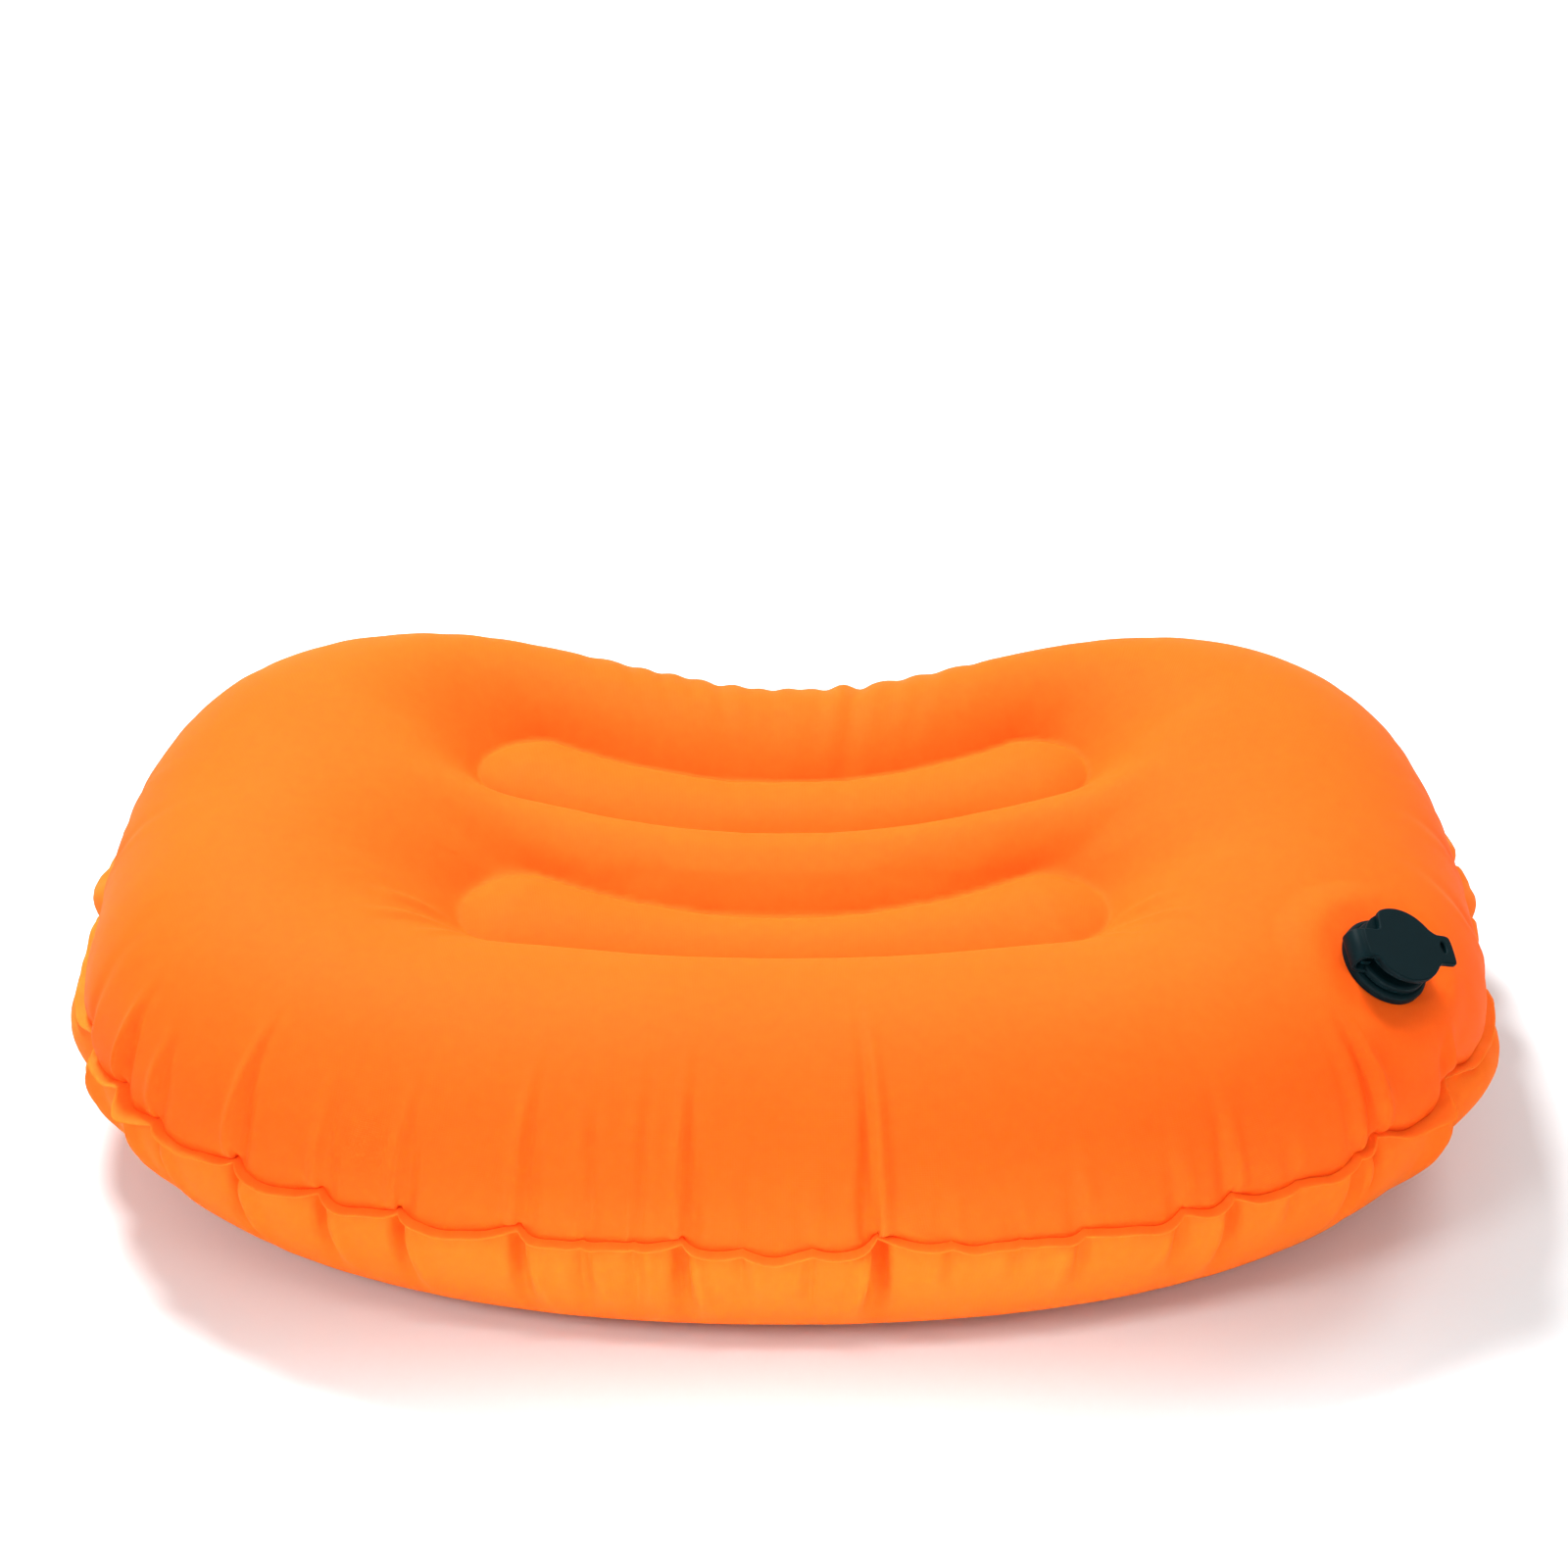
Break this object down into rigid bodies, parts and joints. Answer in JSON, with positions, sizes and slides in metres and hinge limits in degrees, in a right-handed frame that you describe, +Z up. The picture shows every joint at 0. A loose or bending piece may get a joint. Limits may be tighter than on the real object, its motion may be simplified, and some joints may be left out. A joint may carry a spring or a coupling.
{
  "type": "inflatable camp pillow",
  "caption": "Kidney-shaped inflatable camp pillow in orange coated fabric, with two curved welded slots and a push-in air valve with a hinged cap.",
  "frame": {"origin": "on the ground under the middle of the pillow's box", "axes": "+X along the pillow to the valve end, +Y from the user's side to the rear edge with the neck hollow, +Z up"},
  "size_m": [0.412, 0.2783, 0.1015],
  "materials": {
    "top_fabric": "matte woven polyester laminated to film",
    "bottom_fabric": "matte woven polyester laminated to film",
    "valve_tpu": "satin moulded thermoplastic rubber",
    "silicone": "soft translucent silicone"
  },
  "bodies": {
    "pillow": {"top_panel": "top_fabric", "bottom_panel": "bottom_fabric", "valve_base": "valve_tpu"},
    "second_stage": {"valve_plug": "valve_tpu", "plug_tether": "valve_tpu", "cap_strap": "valve_tpu"},
    "flap": {"check_flap": "silicone"},
    "cap": {"valve_cap": "valve_tpu"}
  },
  "joints": [
    {"name": "plug_pull", "type": "slide", "parent": "pillow", "child": "second_stage", "axis": [0.4415, -0.2653, 0.8572], "range_m": [0, 0.009], "deforming": ["plug_tether"]},
    {"name": "cap_hinge", "type": "hinge", "parent": "second_stage", "child": "cap", "pos_m": [0.1581, -0.06269, 0.09735], "axis": [0.1707, -0.913, -0.3705], "range_deg": [0, 150], "deforming": ["cap_strap"]},
    {"name": "flap_lift", "type": "slide", "parent": "second_stage", "child": "flap", "axis": [0.4415, -0.2653, 0.8572], "range_m": [-0.0012, 0], "stiffness_N_per_m": 5, "springref_m": 0.0003}
  ]
}
